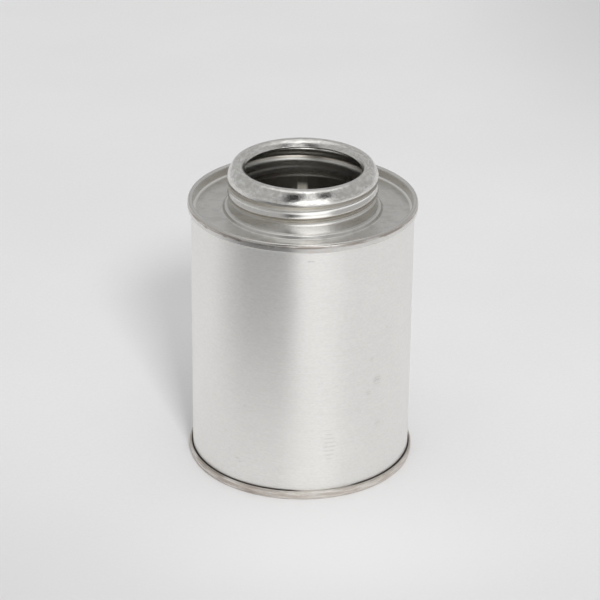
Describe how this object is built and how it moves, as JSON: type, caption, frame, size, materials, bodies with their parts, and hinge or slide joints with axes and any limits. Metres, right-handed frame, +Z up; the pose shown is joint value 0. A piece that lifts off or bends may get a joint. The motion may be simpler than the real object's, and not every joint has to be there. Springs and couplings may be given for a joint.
{
  "type": "screw-neck tin can",
  "caption": "Plain round tinplate can with double-seamed ends and a wide neck, drawn in one with the top, that has a rolled screw thread and a rim that slopes into the mouth and is hemmed. It has no cap.",
  "frame": {"origin": "centre of the can's foot: on its axis, in the plane of the bottom seam that it stands on", "axes": "+Z up the can's axis towards the neck; -Y is the side that the picture shows, and the body's welded lap is at +Y"},
  "size_m": [0.0684, 0.0684, 0.0944],
  "materials": {
    "body_tin": "bright tinplate with a fine rolled grain",
    "end_tin": "duller tinplate, warm grey, with a few brown specks on the seams",
    "sealing_compound": "matt"
  },
  "bodies": {
    "root": {"body_cylinder": "body_tin", "top_end": "end_tin", "bottom_end": "end_tin", "top_seam_compound": "sealing_compound", "bottom_seam_compound": "sealing_compound"}
  },
  "joints": []
}
